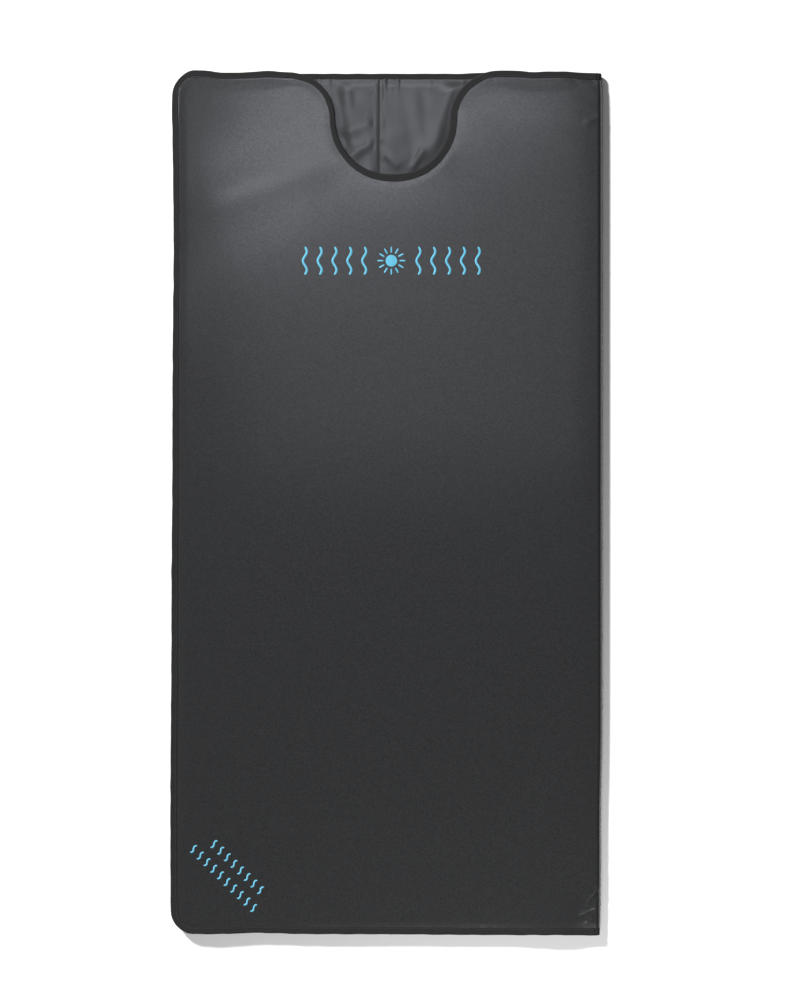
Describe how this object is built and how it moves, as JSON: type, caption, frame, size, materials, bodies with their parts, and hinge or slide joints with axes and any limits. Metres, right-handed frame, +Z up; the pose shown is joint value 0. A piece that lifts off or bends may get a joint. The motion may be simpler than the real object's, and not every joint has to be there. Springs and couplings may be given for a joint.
{
  "type": "infrared sauna blanket",
  "caption": "Folded infrared sauna blanket: two padded heated panels joined by a soft side fold, taped edges, neck cut-out in the upper flap, and a power inlet at the foot.",
  "frame": {"origin": "middle of the closed blanket's footprint, on the floor", "axes": "+X across the blanket towards the fold, +Y along its length towards the head end with the neck cut-out, +Z up through the two panels"},
  "size_m": [0.9, 1.8, 0.0227],
  "materials": {
    "cover": "satin grained polyurethane-coated fabric",
    "lining": "smooth semi-gloss polyurethane-coated fabric",
    "felt": "needled wadding",
    "foil": "bright foil on film",
    "scrim": "open non-woven",
    "carbon_ribbon": "woven carbon fibre ribbon",
    "charcoal": "charcoal-filled non-woven",
    "clay": "clay-filled non-woven",
    "crystal": "crushed crystal between non-wovens",
    "magnet": "flexible magnet strip",
    "binding": "ribbed woven tape",
    "hook": "moulded hook strip",
    "loop": "napped loop strip",
    "wire": "flat silicone-sheathed twin lead",
    "thermostat": "heat-resistant case",
    "sensor": "epoxy bead",
    "crimp": "tinned crimp",
    "inlet_plastic": "fine textured moulding",
    "contact_block": "glass-filled insulator",
    "pin": "plated",
    "screw": "zinc plated",
    "thread": "satin-stitched rayon thread"
  },
  "bodies": {
    "base": {"base_charcoal_layer": "charcoal", "base_clay_layer": "clay", "base_crimp_terminals": "crimp", "base_crystal_layer": "crystal", "base_edge_binding": "binding", "base_heater_scrim": "scrim", "base_heating_ribbon": "carbon_ribbon", "base_hook_strip_foot": "hook", "base_hook_strip_side": "hook", "base_insulation_pad": "felt", "base_lead_wires": "wire", "base_lining_left": "lining", "base_lining_right": "lining", "base_magnet_strips": "magnet", "base_outer_cover": "cover", "base_reflective_foil": "foil", "base_temperature_sensor": "sensor", "base_thermostats": "thermostat", "inlet_contact_block": "contact_block", "inlet_lower_shell": "inlet_plastic", "inlet_pins": "pin", "inlet_screws": "screw", "inlet_upper_shell": "inlet_plastic"},
    "fold_spine": {"fold_foot_binding": "binding", "fold_head_binding": "binding", "fold_insulation": "felt", "fold_jumper_wires": "wire", "fold_lining": "lining", "fold_outer_cover": "cover"},
    "flap": {"corner_embroidery": "thread", "emblem_embroidery": "thread", "flap_charcoal_layer": "charcoal", "flap_clay_layer": "clay", "flap_crimp_terminals": "crimp", "flap_crystal_layer": "crystal", "flap_edge_binding": "binding", "flap_heater_scrim": "scrim", "flap_heating_ribbon": "carbon_ribbon", "flap_insulation_pad": "felt", "flap_lead_wires": "wire", "flap_lining_left": "lining", "flap_lining_right": "lining", "flap_loop_strip_foot": "loop", "flap_loop_strip_side": "loop", "flap_magnet_strips": "magnet", "flap_outer_cover": "cover", "flap_reflective_foil": "foil", "flap_thermostats": "thermostat", "neck_binding": "binding"}
  },
  "joints": [
    {"name": "spine_turn", "type": "hinge", "parent": "base", "child": "fold_spine", "pos_m": [0.4476, 0, 0.0024], "axis": [0, 1, 0], "range_deg": [0, 90], "deforming": ["fold_foot_binding", "fold_head_binding", "fold_insulation", "fold_jumper_wires", "fold_lining", "fold_outer_cover"]},
    {"name": "flap_turn", "type": "hinge", "parent": "fold_spine", "child": "flap", "pos_m": [0.4476, 0, 0.02], "axis": [0, 1, 0], "range_deg": [0, 90]}
  ],
  "couplings": [
    {"joint": "flap_turn", "follows": "spine_turn", "ratio": 1}
  ]
}
